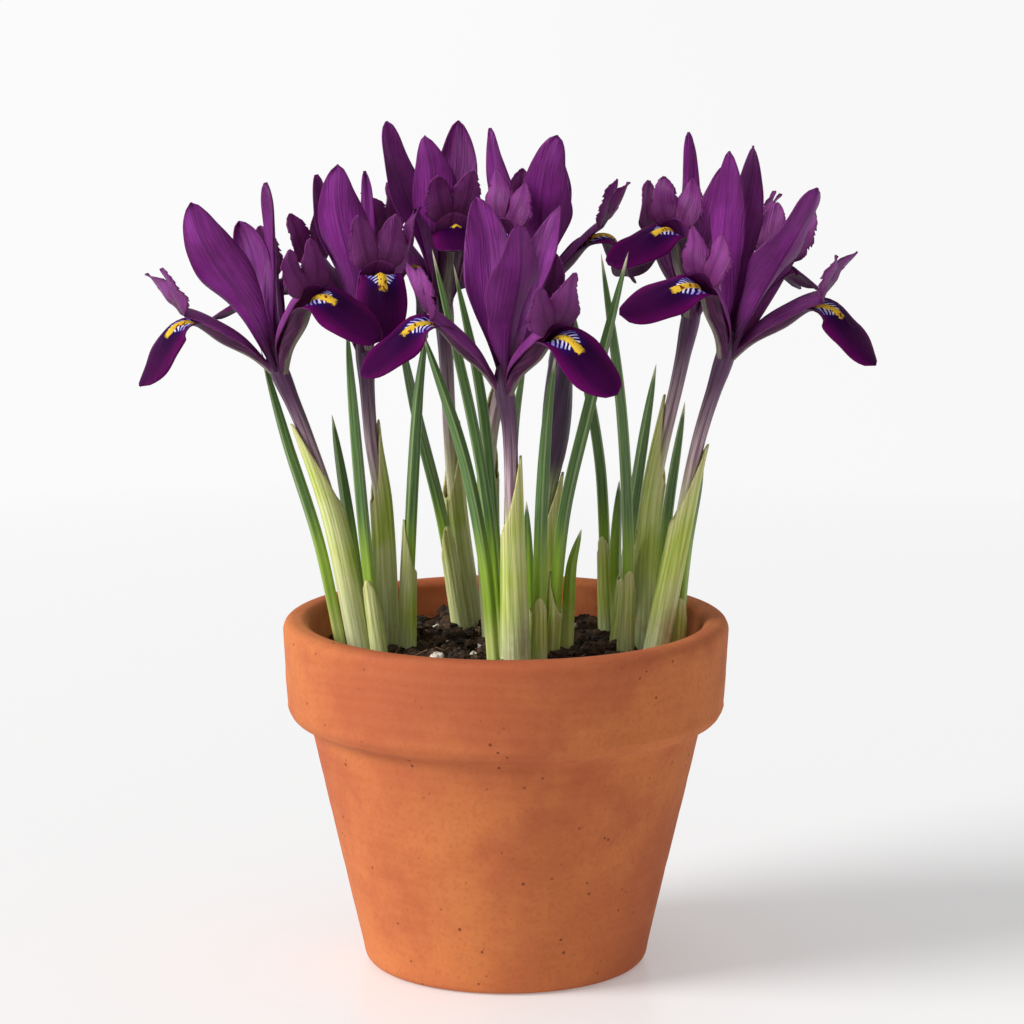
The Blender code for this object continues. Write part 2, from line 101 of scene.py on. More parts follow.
# The plants
PETAL_WALL = 0.34
TUBE_RADIUS = 1.65
TUBE_RIBS = 0.03
THROAT_RADIUS = 2.45
THROAT_DEPTH = 5.0  # how far the tube's end stands up inside the bloom
LEAF_HALF_WIDTH = 1.55
CLAW_RADIUS = 2.1
ARM_ROOT_RADIUS = 1.0
KNEE_SHARE = 0.53  # of a fall's length, at which it bends over
HAFT_DROP = 1.7  # how far a haft hangs below its style arm's root
KNEE_REACH = 2.2
BLADE_HALF_WIDTH = 6.4
RIDGE_HEIGHT = 0.75
RIDGE_HALF_WIDTH = 0.75
ARM_RISE = 5.2
ARM_END_HALF = 5.3
ARM_END_BEND = 0.9
LOBE_LENGTH = 10.3
LOBE_HALF_WIDTH = 3.9
SHEATH_WALL = 0.4
SHEATH_OVERLAP = 1.12  # turns of a sheath round its shoot

# Each stem's centre line from the peat to its bloom's throat
STEMS = {
    "left": ((-35.5, -3, 78), (-42, -1, 111), (-49, 1, 132), (-56, 2, 149)),
    "left_back": ((-29.5, 8, 78), (-31, 11, 113), (-33.5, 12.5, 130), (-35, 14, 152)),
    "back_left": ((-9, 31, 78), (-13, 31, 110), (-15, 29, 146), (-15.5, 28, 160)),
    "back_centre": ((-3, 10, 78), (-4.5, 12, 110), (-3, 15, 134), (5.5, 18, 162)),
    "front_centre": ((2.5, -20, 78), (1.5, -21, 110), (1, -23, 137), (-0.5, -24, 148)),
    "right_back": ((34, 8, 78), (36.5, 16, 113), (43.5, 23, 145), (46.5, 26, 159)),
    "right": ((36.5, -6, 78), (42, -6, 107), (47, -6, 132), (53.5, -8, 154)),
}

# Each bloom's falls: the knee where the haft bends over, the blade's tip, the blade's roll and the
# turn of the crest over it. Then its standards: the tip, the half width and the roll. In degrees.
BLOOMS = {
    "left": dict(
        falls=(
            ((-78, 1, 160.5), (-89, -5, 145), -22, 16),
            ((-46, -13, 168), (-30, -20, 158.5), 15, 0),
            ((-60, 18, 167), (-74, 30, 157), 0, 0),
        ),
        standards=(((-76, -6, 190), 7.2, 0), ((-59, 12, 193), 4.5, 0), ((-66, 17, 183), 6, 0)),
    ),
    "left_back": dict(
        falls=(
            ((-31, 2, 172), (-30, -11, 157), 0, 0),
            ((-24, 17, 172), (-19.5, 17, 154), 0, 0),
            ((-48, 25, 171), (-57, 40, 162), 0, 0),
        ),
        standards=(((-41, 6, 198), 7, 0), ((-47, 22, 194), 6, 0), ((-35, 21, 195), 3, 0)),
    ),
    "back_left": dict(
        falls=(
            ((-13, 18, 182), (-12, 3, 177), 0, 0),
            ((-14, 45, 177), (-13, 55, 161), 0, 0),
            ((-30, 36, 176), (-41, 47, 166), 0, 0),
        ),
        standards=(((-20, 18, 204), 7, 0), ((-30, 36, 206), 6.5, 0), ((-12, 38, 206), 6.5, 0)),
    ),
    "back_centre": dict(
        falls=(
            ((-1, 6, 182), (-1, -3, 165), 0, 0),
            ((23, 19, 180), (32, 26, 167), 0, -12),
            ((5, 35, 179), (5, 49, 168), 0, 0),
        ),
        standards=(((12.5, 8, 205), 7, 0), ((-4, 28, 205), 4, 55), ((12, 32, 200), 6.5, 0)),
    ),
    "front_centre": dict(
        falls=(
            ((-18, -27, 164), (-34, -34, 152), -20, 15),
            ((12, -38, 162), (26, -45, 149), 20, -15),
            ((9, -12, 166), (10, 4, 156), 0, 0),
        ),
        standards=(((-7, -12, 192), 6.5, 0), ((3, -40, 188.5), 7.3, 0), ((13, -12, 190), 6, 0)),
    ),
    "right_back": dict(
        falls=(
            ((41, 15, 181), (25, 4, 174), -15, 0),
            ((63, 30, 176), (74, 33, 164), 0, 0),
            ((37, 40, 176), (30, 52, 165), 0, 0),
        ),
        standards=(((45, 17, 205), 3, 0), ((55, 36, 195), 6, 0), ((40, 38, 192), 6, 0)),
    ),
    "right": dict(
        falls=(
            ((46, -22, 172), (27, -29, 166), -15, 0),
            ((76, -10, 166), (89, -16, 152), 22, -18),
            ((66, 4, 175), (77, 12, 167), 0, 0),
        ),
        standards=(((53.5, -12, 203), 5.6, 50), ((60, 2, 203), 5, 0), ((74, -19, 195), 8, 0)),
    ),
}

BUD_STEM = ((10.5, 2, 78), (10.5, 5, 113), (12, 8, 130), (13.5, 11, 150), (15, 13, 168))

# The papery sheath round each shoot's foot: where its point stands, the turn of that point and the
# sheath's outer radius at its foot and at its mouth
SHEATHS = {
    "left": (135, 200, 3.2, 3.0),
    "left_back": (134, 20, 3.2, 2.8),
    "back_left": (131, 30, 3.3, 3.0),
    "back_centre": (142, 150, 2.9, 2.8),
    "front_centre": (131, 0, 4.0, 2.8),
    "right_back": (139, 170, 3.2, 2.9),
    "right": (131, 0, 3.2, 2.9),
}
BUD_SHEATH = (122, 0, 2.9, 3.4)

# Each leaf's centre line from the peat to its tip
LEAVES = {
    "leaf_01": ((-40.5, -0.5, 78), (-46, 1, 105), (-54, 5, 130), (-60.5, 10, 152)),
    "leaf_02": ((-35, 5, 78), (-38.5, 7, 107), (-43, 9, 136)),
    "leaf_03": ((-31, -6, 78), (-34, -3, 101), (-37.5, 1, 140), (-39, 3, 160)),
    "leaf_04": ((-24.5, 3, 78), (-24, 2.5, 98), (-21.5, -2, 141), (-19, -6, 161)),
    "leaf_05": ((-11.5, 25, 78), (-16, 26, 106), (-22, 23, 132), (-27, 16, 158)),
    "leaf_06": ((-1.5, -7, 78), (-4.5, -4, 114), (-9, -2, 140), (-18, 1, 178)),
    "leaf_07": ((-3, -15, 78), (-5, -14, 102), (-10.5, -12, 130), (-20.5, -14, 161)),
    "leaf_08": ((-1, 0, 78), (-3, 3, 108), (-6, 7, 140), (-13, 14, 173)),
    "leaf_09": ((2, -9, 78), (1, -9, 112), (2, -9, 135), (5, -10, 154)),
    "leaf_10": ((6, -11.5, 78), (5.5, -11.5, 100), (5, -11.5, 118)),
    "leaf_11": ((8, -16, 78), (8.5, -15, 113), (10, -14, 138), (12, -12, 154)),
    "leaf_12": ((11, -8, 78), (14, -10, 113), (19.5, -10, 138), (29.5, -12, 179)),
    "leaf_13": ((25.5, 24, 78), (24, 22, 117), (21, 20, 138), (15, 16, 167)),
    "leaf_14": ((29.5, 0, 78), (30, -2, 106), (28, -4, 141), (23, -6, 178)),
    "leaf_15": ((28, 8, 78), (31, 8, 108), (34, 8, 130), (37, 7, 149)),
    "leaf_16": ((38.5, 3, 78), (39.5, 3, 108), (44, 4, 140)),
    "leaf_17": ((42, 0, 78), (44.5, -1, 105), (48.5, -1, 124)),
    "leaf_18": ((15, -5, 78), (16, -6, 100), (18.5, -6, 110)),
    "leaf_19": ((28, 17, 78), (27.4, 17.3, 98), (28.3, 17.8, 118)),
}

# The short sheath round a leaf's foot: how high its point stands over the peat, and its turn
LEAF_SHEATHS = {
    "leaf_02": (16, 200), "leaf_03": (19, 250), "leaf_04": (33, 180), "leaf_05": (27, 300),
    "leaf_10": (14, 250), "leaf_11": (17, 270), "leaf_12": (22, 160), "leaf_13": (25, 250),
    "leaf_14": (21, 280), "leaf_15": (29, 20), "leaf_17": (14, 260),
}


# Curves and petals in space

def along(keys, place):
    """The value at this place of a smooth curve through the keys, each (place, value)."""
    last = len(keys) - 1
    here = min(max(bisect_right([key[0] for key in keys], place) - 1, 0), last - 1)
    (start, low), (end, high) = keys[here], keys[here + 1]

    def slope(key):
        before, after = keys[max(key - 1, 0)], keys[min(key + 1, last)]
        return (after[1] - before[1]) / (after[0] - before[0])

    span = end - start
    part = (place - start) / span
    rise = part * part * (3 - 2 * part)
    return (
        low + (high - low) * rise
        + slope(here) * span * part * (1 - part) ** 2
        - slope(here + 1) * span * part * part * (1 - part)
    )


class Route:
    """A smooth curve through points in space, read by the share of its length."""

    def __init__(self, points):
        points = [Vector(point) for point in points]
        travelled = [0.0]
        for before, after in zip(points, points[1:]):
            travelled.append(travelled[-1] + (after - before).length)
        self.length = travelled[-1]
        self.keys = [
            [(far / self.length, point[axis]) for far, point in zip(travelled, points)]
            for axis in range(3)
        ]

    def point(self, place):
        return Vector([along(keys, place) for keys in self.keys])

    def heading(self, place):
        step = 0.01
        return (self.point(min(place + step, 1)) - self.point(max(place - step, 0))).normalized()

    def at_height(self, height):
        """The share of the length at which the curve passes this height."""
        low, high = 0.0, 1.0
        for _ in range(30):
            middle = (low + high) / 2
            if self.point(middle).z < height:
                low = middle
            else:
                high = middle
        return low


def rooted(points):
    """A curve's points with one more below the peat, straight on from its first stretch."""
    foot, after = Vector(points[0]), Vector(points[1])
    down = (foot - after) / (after.z - foot.z)
    return [foot + down * ROOTED_DEPTH, *map(Vector, points)]


def rounded(keys, place, blunt):
    """A half width from its keys, closed over the last stretch by a round end."""
    half = max(along(keys, place), 0)
    if place > blunt:
        half *= math.sqrt(max(1 - ((place - blunt) / (1 - blunt)) ** 2, 0.0))
    return half


def ramp(value, start, end):
    """0 before the start, 1 past the end, and evenly between them."""
    return min(max((value - start) / (end - start), 0), 1)


def square_to(heading):
    """Two directions square to a heading that climbs, the first of them to the photo's right."""
    first = (Vector((1, 0, 0)) - heading * heading.x).normalized()
    return first, heading.cross(first)


def bent(across, half, bend):
    """How far sideways and inwards a bent strip's point lies, for the bend in radians at its edge."""
    if abs(bend) < 0.02:
        return half * across, 0.0
    return half * math.sin(bend * across) / bend, half * (1 - math.cos(bend * across)) / bend


# Meshes

def new_shape():
    shape = bmesh.new()
    shape.loops.layers.uv.new("shape")
    shape.loops.layers.uv.new("size")
    return shape


def add_sheet(shape, rows, columns, place, finish=0, wrapped=False):
    """Adds a grid whose corners place(across, share) moves.

    It gives a point, and that point's place in millimetres on the flat sheet, which patterns read.
    """
    made = bmesh.ops.create_grid(shape, x_segments=columns, y_segments=rows, size=1)["verts"]
    spots = {corner: (corner.co.x, (corner.co.y + 1) / 2) for corner in made}
    flat = {}
    for corner, (across, share) in spots.items():
        point, flat[corner] = place(across, share)
        corner.co = point * MM
    faces = {face for corner in made for face in corner.link_faces}
    shape_map = shape.loops.layers.uv["shape"]
    size_map = shape.loops.layers.uv["size"]
    for face in faces:
        face.smooth = True
        face.material_index = finish
        for loop in face.loops:
            across, share = spots[loop.vert]
            loop[shape_map].uv = (across, share)
            loop[size_map].uv = (flat[loop.vert][0] / 10, flat[loop.vert][1] / 10)
    if wrapped:
        bmesh.ops.remove_doubles(shape, verts=made, dist=0.01 * MM)


def finish_piece(name, shape, finishes, nodes=(), wall=0.0, backs=0):
    """Makes the shape an object with these finishes. It stands for these nodes of the part."""
    data = bpy.data.meshes.new(name)
    shape.to_mesh(data)
    shape.free()
    for finish in finishes:
        data.materials.append(finish)
    piece = bpy.data.objects.new(name, data)
    bpy.context.scene.collection.objects.link(piece)
    if wall:
        thick = piece.modifiers.new("Wall", "SOLIDIFY")
        thick.thickness = wall * MM
        thick.offset = 0
        thick.material_offset = backs
    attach(piece, "root")
    if nodes:
        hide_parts(*nodes)
    return piece


def spun(profile, steps):
    """A closed solid of revolution from a closed (radius, height) outline."""
    shape = new_shape()
    corners = [shape.verts.new((radius * MM, 0, height * MM)) for radius, height in profile]
    edges = [
        shape.edges.new(ends) for ends in zip(corners, corners[1:] + corners[:1])
    ]
    bmesh.ops.spin(
        shape, geom=corners + edges, axis=(0, 0, 1), cent=(0, 0, 0), angle=math.tau,
        steps=steps, use_merge=True, use_duplicate=False,
    )
    bmesh.ops.remove_doubles(shape, verts=shape.verts, dist=0.001 * MM)
    bmesh.ops.recalc_face_normals(shape, faces=shape.faces)
    for face in shape.faces:
        face.smooth = True
    return shape


def line(start, end, steps):
    """The points between two corners of a profile, without the corners."""
    return [
        tuple(low + (high - low) * step / steps for low, high in zip(start, end))
        for step in range(1, steps)
    ]


def arc(centre, radius, first, last, steps):
    """Points of an arc in a profile, in degrees anticlockwise from outwards."""
    turns = [math.radians(first + (last - first) * step / steps) for step in range(steps + 1)]
    return [
        (centre[0] + radius * math.cos(turn), centre[1] + radius * math.sin(turn))
        for turn in turns
    ]


# Finishes

def paint(red, green, blue):
    """A colour as the eye names it, 0 to 255, in the linear values that the shader takes."""
    return (*(
        part / 12.92 if part <= 0.04045 else ((part + 0.055) / 1.055) ** 2.4
        for part in (red / 255, green / 255, blue / 255)
    ), 1)


class Finish:
    """A material and short ways to its nodes."""

    def __init__(self, name, roughness=0.5, **constants):
        self.material = bpy.data.materials.new(name)
        self.material.use_nodes = True
        self.tree = self.material.node_tree
        self.shader = self.tree.nodes["Principled BSDF"]
        self.shader.inputs["Roughness"].default_value = roughness
        for socket, value in constants.items():
            self.shader.inputs[socket.replace("_", " ")].default_value = value

    def put(self, kind, settings=None, **inputs):
        node = self.tree.nodes.new("ShaderNode" + kind)
        for name, value in (settings or {}).items():
            setattr(node, name, value)
        for name, value in inputs.items():
            self.join(value, node.inputs[name.replace("_", " ")])
        return node

    def join(self, value, socket):
        if isinstance(value, bpy.types.NodeSocket):
            self.tree.links.new(value, socket)
        else:
            socket.default_value = value

    def maths(self, operation, *values):
        node = self.put("Math", {"operation": operation})
        for value, socket in zip(values, node.inputs):
            self.join(value, socket)
        return node.outputs[0]

    def add(self, a, b):
        return self.maths("ADD", a, b)

    def times(self, a, b):
        return self.maths("MULTIPLY", a, b)

    def fade(self, value, start, end, low=0.0, high=1.0):
        """Smoothly low to high as the value goes from start to end."""
        node = self.put("MapRange", {"interpolation_type": "SMOOTHSTEP"})
        for name, part in zip(("Value", "From Min", "From Max", "To Min", "To Max"),
                              (value, start, end, low, high)):
            self.join(part, node.inputs[name])
        return node.outputs[0]

    def mix(self, share, first, second, blend="MIX"):
        node = self.put("Mix", {"data_type": "RGBA", "blend_type": blend})
        for index, value in ((0, share), (6, first), (7, second)):
            self.join(value, node.inputs[index])
        return node.outputs[2]

    def surface_map(self, name):
        """The two numbers of a piece's own map."""
        place = self.put("UVMap", {"uv_map": name}).outputs[0]
        parts = self.put("SeparateXYZ", Vector=place)
        return parts.outputs[0], parts.outputs[1]

    def petal_maps(self):
        """How far across a petal is, -1 to 1, and its place in millimetres on the flat sheet."""
        across = self.surface_map("shape")[0]
        x, y = self.surface_map("size")
        return across, self.times(x, 10), self.times(y, 10)

    def vector(self, x, y, z=0.0):
        node = self.put("CombineXYZ")
        for value, socket in zip((x, y, z), node.inputs):
            self.join(value, socket)
        return node.outputs[0]

    def place(self):
        return self.put("TexCoord").outputs["Object"]

    def grain(self, scale, detail=3.0, vector=None, rough=0.5):
        node = self.put("TexNoise", Scale=scale, Detail=detail, Roughness=rough,
                        Vector=vector or self.place())
        return node.outputs[0]

    def cells(self, scale, vector=None):
        node = self.put("TexVoronoi", Scale=scale, Vector=vector or self.place())
        return node.outputs["Distance"]

    def colour(self, value):
        self.join(value, self.shader.inputs["Base Color"])

    def bump(self, height, distance, strength=1.0):
        node = self.put("Bump", Height=height, Distance=distance * MM, Strength=strength)
        self.tree.links.new(node.outputs[0], self.shader.inputs["Normal"])


def veins(finish, x, y, spacing, stretch, wander=1.2):
    """Fine lines along a petal: 1 on a line, 0 between. x and y are a place on the flat sheet."""
    drift = finish.grain(1.0, 2.0, finish.vector(finish.times(x, 0.5), finish.times(y, 0.25)))
    sideways = finish.add(finish.times(x, 1 / spacing), finish.times(drift, wander))
    lines = finish.put("TexNoise", {"noise_dimensions": "2D"}, Scale=1.0, Detail=2.0,
                       Vector=finish.vector(sideways, finish.times(y, stretch)))
    return finish.fade(lines.outputs[0], 0.4, 0.66)


def fall_finish():
    """The face of a fall: dark velvet blade, yellow ridge, pale dashes and a veined haft."""
    fall = Finish("fall velvet", 0.6, Sheen_Weight=0.05, Sheen_Roughness=0.4,
                  Sheen_Tint=paint(150, 30, 150), Specular_IOR_Level=0.05)
    across, x, y = fall.petal_maps()
    aside = fall.maths("ABSOLUTE", x)
    ragged = fall.grain(1100, 2)
    speckle = fall.grain(900, 3)
    rim = fall.fade(fall.maths("ABSOLUTE", across), 0.35, 1.05)
    blade = fall.mix(rim, paint(38, 0, 50), paint(98, 4, 86))
    blade = fall.mix(fall.fade(y, 7, 17, 0.0, 0.5), blade, paint(74, 2, 66))
    lines = veins(fall, x, y, 0.3, 0.12)
    blade = fall.mix(fall.times(lines, 0.12), blade, paint(24, 0, 34))
    haft = fall.mix(lines, paint(88, 22, 78), paint(46, 6, 42))
    colour = fall.mix(fall.fade(y, -4.5, -1.0), haft, blade)
    middle = fall.maths("ABSOLUTE", fall.add(y, -2.6))
    glow = fall.times(fall.fade(aside, 4.8, 1.5), fall.fade(middle, 5.6, 2.5))
    colour = fall.mix(glow, colour, paint(34, 10, 90))
    slant = fall.times(fall.add(y, fall.times(aside, -0.75)), 4.4)
    teeth = fall.maths("SINE", fall.add(slant, fall.times(fall.grain(420, 1), 8.5)))
    reach = fall.fade(fall.maths("ABSOLUTE", fall.add(y, -2.4)), 5.4, 0.5, 1.2, 3.6)
    far = fall.add(aside, fall.times(ragged, -0.6))
    within = fall.times(fall.fade(teeth, 0.0, 0.4), fall.fade(far, reach, fall.add(reach, -0.5)))
    ends = fall.times(fall.fade(y, -2.2, -1.2), fall.fade(y, 7.2, 6.2))
    dashes = fall.times(within, fall.times(fall.fade(aside, 0.8, 1.0), ends))
    pale = fall.mix(fall.fade(aside, 1.0, 3.2), paint(240, 236, 248), paint(140, 132, 224))
    colour = fall.mix(dashes, colour, pale)
    uneven = fall.times(fall.add(ragged, -0.5), 1.3)
    width = fall.add(fall.fade(y, -1.5, 3.0, 0.6, 1.0), uneven)
    end = fall.fade(fall.add(y, fall.times(ragged, 1.5)), 9.6, 8.8)
    ridge = fall.times(fall.fade(fall.add(aside, fall.times(width, -1)), 0.12, -0.12),
                       fall.times(fall.fade(y, -2.6, -1.6), end))
    gold = fall.mix(fall.fade(speckle, 0.56, 0.62), paint(232, 188, 56), paint(122, 60, 26))
    gold = fall.mix(fall.fade(y, 1.5, -2.0), gold, paint(170, 92, 58))
    fall.colour(fall.mix(ridge, colour, gold))
    fall.bump(fall.add(speckle, fall.times(lines, 0.6)), 0.08)
    return fall.material


def fall_back_finish():
    """The underside of a fall: a grey-green keel on the haft, and a dull purple blade."""
    back = Finish("fall underside", 0.55, Specular_IOR_Level=0.3)
    x, y = back.petal_maps()[1:]
    lines = veins(back, x, y, 0.32, 0.14)
    flank = back.mix(lines, paint(86, 24, 76), paint(44, 8, 40))
    keel = back.mix(lines, paint(134, 126, 112), paint(90, 76, 78))
    wide = back.add(back.maths("ABSOLUTE", x), back.times(back.grain(200, 2), -1.2))
    haft = back.mix(back.fade(wide, 0.9, 0.0), flank, keel)
    blade = back.mix(lines, paint(66, 8, 62), paint(46, 2, 46))
    back.colour(back.mix(back.fade(y, -3.0, 1.0), haft, blade))
    back.bump(lines, 0.08)
    return back.material


def petal_finish(name, light, dark, foot_shade, spacing):
    """A standard or a style crest: purple and veined lengthwise, with painted shade that darkens it
    to its foot and along its margins.
    """
    petal = Finish(name, 0.5, Specular_IOR_Level=0.22, Subsurface_Weight=0.2,
                   Subsurface_Scale=0.0012)
    across, x, y = petal.petal_maps()
    lines = veins(petal, x, y, spacing, 0.08)
    clouds = petal.grain(70, 4)
    body = petal.mix(petal.fade(clouds, 0.3, 0.7), light, dark)
    body = petal.mix(petal.times(lines, 0.22), body, paint(62, 4, 64))
    rib = petal.fade(petal.maths("ABSOLUTE", x), 0.7, 0.1)
    body = petal.mix(petal.times(rib, 0.45), body, paint(58, 6, 60))
    # Painted shade: the margins are darkened towards a deep purple, as shade would leave them.
    rim = petal.fade(petal.maths("ABSOLUTE", across), 0.6, 1.0)
    body = petal.mix(petal.times(rim, 0.45), body, paint(78, 8, 76))
    # Painted shade: the petal darkens into its foot colour over its lowest 16 mm.
    petal.colour(petal.mix(petal.fade(y, 16, 5), body, foot_shade))
    petal.bump(petal.add(lines, petal.times(clouds, 0.6)), 0.09)
    return petal.material


def tube_finish():
    """A bloom's tube: purple at the throat, then pale with fine stripes, then greenish."""
    tube = Finish("tube", 0.45, Subsurface_Weight=0.1, Subsurface_Scale=0.001)
    around, share = tube.surface_map("shape")
    stripes = tube.grain(1.0, 3, tube.vector(tube.times(around, 9), tube.times(share, 5)))
    stripes = tube.fade(stripes, 0.4, 0.6)
    height = tube.put("SeparateXYZ", Vector=tube.place()).outputs[2]
    below = tube.times(tube.surface_map("size")[1], 10)
    top = tube.mix(stripes, paint(90, 40, 86), paint(52, 12, 50))
    pale = tube.mix(stripes, paint(190, 166, 170), paint(122, 84, 106))
    green = tube.mix(stripes, paint(204, 200, 158), paint(172, 166, 124))
    colour = tube.mix(tube.fade(below, 12, 32), top, pale)
    colour = tube.mix(tube.fade(below, 30, 48), colour, green)
    tube.colour(tube.mix(tube.fade(height, 0.122, 0.108), colour, green))
    tube.bump(stripes, 0.1)
    return tube.material


def leaf_finish():
    """A leaf: blue-green, with a pale rib along each edge, a yellower foot and a horny tip."""
    leaf = Finish("leaf", 0.38, Specular_IOR_Level=0.45, Coat_Weight=0.12, Coat_Roughness=0.3)
    around, share = leaf.surface_map("shape")
    height = leaf.put("SeparateXYZ", Vector=leaf.place()).outputs[2]
    lines = leaf.grain(1.0, 2, leaf.vector(leaf.times(around, 14), leaf.times(share, 9)))
    green = leaf.mix(leaf.fade(lines, 0.35, 0.65), paint(88, 120, 58), paint(60, 94, 40))
    rib = leaf.maths("ABSOLUTE", leaf.maths("COSINE", leaf.times(around, math.tau)))
    green = leaf.mix(leaf.fade(rib, 0.93, 1.0), green, paint(128, 150, 92))
    fresh = leaf.mix(lines, paint(150, 178, 52), paint(110, 146, 34))
    foot = leaf.mix(lines, paint(204, 212, 136), paint(172, 188, 92))
    colour = leaf.mix(leaf.fade(height, 0.116, 0.1), green, fresh)
    colour = leaf.mix(leaf.fade(height, 0.094, 0.082), colour, foot)
    leaf.colour(leaf.mix(leaf.fade(share, 0.94, 0.985), colour, paint(206, 200, 168)))
    leaf.bump(leaf.add(lines, rib), 0.08)
    return leaf.material


def sheath_finish():
    """A papery sheath: pale green with white ribs and a dry, see-through look at its mouth."""
    sheath = Finish("sheath", 0.55, Specular_IOR_Level=0.25, Subsurface_Weight=0.15,
                    Subsurface_Scale=0.001)
    around, share = sheath.surface_map("shape")
    ribs = sheath.grain(1.0, 3, sheath.vector(sheath.times(around, 13), sheath.times(share, 2)))
    ribs = sheath.fade(ribs, 0.35, 0.65)
    blotch = sheath.grain(160, 4)
    clouds = sheath.grain(45, 3)
    green = sheath.mix(ribs, paint(198, 206, 106), paint(150, 170, 62))
    papery = sheath.mix(ribs, paint(212, 214, 156), paint(182, 190, 116))
    green = sheath.mix(sheath.fade(clouds, 0.42, 0.66), green, papery)
    foot = sheath.mix(ribs, paint(214, 216, 170), paint(182, 190, 128))
    mouth = sheath.mix(ribs, paint(206, 206, 144), paint(176, 174, 108))
    colour = sheath.mix(sheath.fade(share, 0.62, 0.3), green, foot)
    colour = sheath.mix(sheath.fade(share, 0.78, 1.0), colour, mouth)
    stain = sheath.times(sheath.fade(blotch, 0.56, 0.68), sheath.fade(share, 0.6, 0.1))
    sheath.colour(sheath.mix(sheath.times(stain, 0.5), colour, paint(140, 124, 84)))
    sheath.bump(sheath.add(ribs, sheath.times(blotch, 0.5)), 0.1)
    return sheath.material


def bud_finish():
    """The rolled bud: dark violet with darker spiral lines."""
    bud = Finish("bud", 0.45, Sheen_Weight=0.2)
    around, share = bud.surface_map("shape")
    twist = bud.add(bud.times(around, 6), bud.times(share, -7))
    lines = bud.fade(bud.grain(1.0, 3, bud.vector(twist, bud.times(share, 4))), 0.4, 0.6)
    violet = bud.mix(lines, paint(66, 24, 68), paint(28, 6, 32))
    green = bud.mix(lines, paint(150, 160, 104), paint(110, 120, 80))
    height = bud.put("SeparateXYZ", Vector=bud.place()).outputs[2]
    bud.colour(bud.mix(bud.fade(height, 0.126, 0.116), violet, green))
    bud.bump(lines, 0.15)
    return bud.material


def clay_finish():
    """Fired clay: warm orange with faint turning rings, pores, and paler and darker clouds."""
    clay = Finish("fired clay", 0.8, Specular_IOR_Level=0.25)
    height = clay.put("SeparateXYZ", Vector=clay.place()).outputs[2]
    clouds = clay.grain(24, 5, rough=0.65)
    patches = clay.grain(11, 2, rough=0.4)
    fine = clay.grain(900, 4)
    level = clay.add(clay.times(height, 420), clay.times(clay.grain(16, 3), 5))
    rings = clay.grain(1.0, 3, clay.vector(0.0, 0.0, level))
    colour = clay.mix(clay.fade(clouds, 0.35, 0.65), paint(198, 116, 64), paint(174, 90, 54))
    colour = clay.mix(clay.fade(patches, 0.5, 0.68, 0.0, 0.3), colour, paint(212, 128, 68))
    colour = clay.mix(clay.fade(patches, 0.48, 0.32, 0.0, 0.5), colour, paint(172, 88, 56))
    colour = clay.mix(clay.fade(rings, 0.35, 0.7, 0.0, 0.1), colour, paint(214, 134, 90))
    colour = clay.mix(clay.fade(fine, 0.45, 0.75, 0.0, 0.3), colour, paint(160, 80, 48))
    pores = clay.fade(clay.cells(330), 0.16, 0.09)
    pores = clay.times(pores, clay.fade(clay.grain(120, 2), 0.52, 0.6))
    clay.colour(clay.mix(clay.times(pores, 0.8), colour, paint(96, 48, 30)))
    relief = clay.add(clay.times(fine, 0.35), clay.times(pores, -0.8))
    clay.bump(clay.add(clay.times(rings, 0.35), relief), 0.14)
    return clay.material


def peat_finish():
    """Moist peat: near black, with brown fibres and crumbs."""
    peat = Finish("peat", 0.92, Specular_IOR_Level=0.2)
    clods = peat.grain(260, 5, rough=0.65)
    bits = peat.cells(700)
    colour = peat.mix(peat.fade(clods, 0.35, 0.7), paint(30, 20, 14), paint(64, 44, 30))
    colour = peat.mix(peat.times(peat.fade(bits, 0.5, 0.1), 0.35), colour, paint(28, 19, 15))
    peat.colour(colour)
    peat.bump(peat.add(clods, peat.times(bits, -0.5)), 0.6)
    return peat.material


def plain_finish(name, first, second, scale, roughness, bump):
    """Two like colours in clouds, with a fine relief."""
    made = Finish(name, roughness)
    clouds = made.grain(scale, 4)
    made.colour(made.mix(made.fade(clouds, 0.35, 0.65), first, second))
    made.bump(clouds, bump)
    return made.material


# The pot and the peat

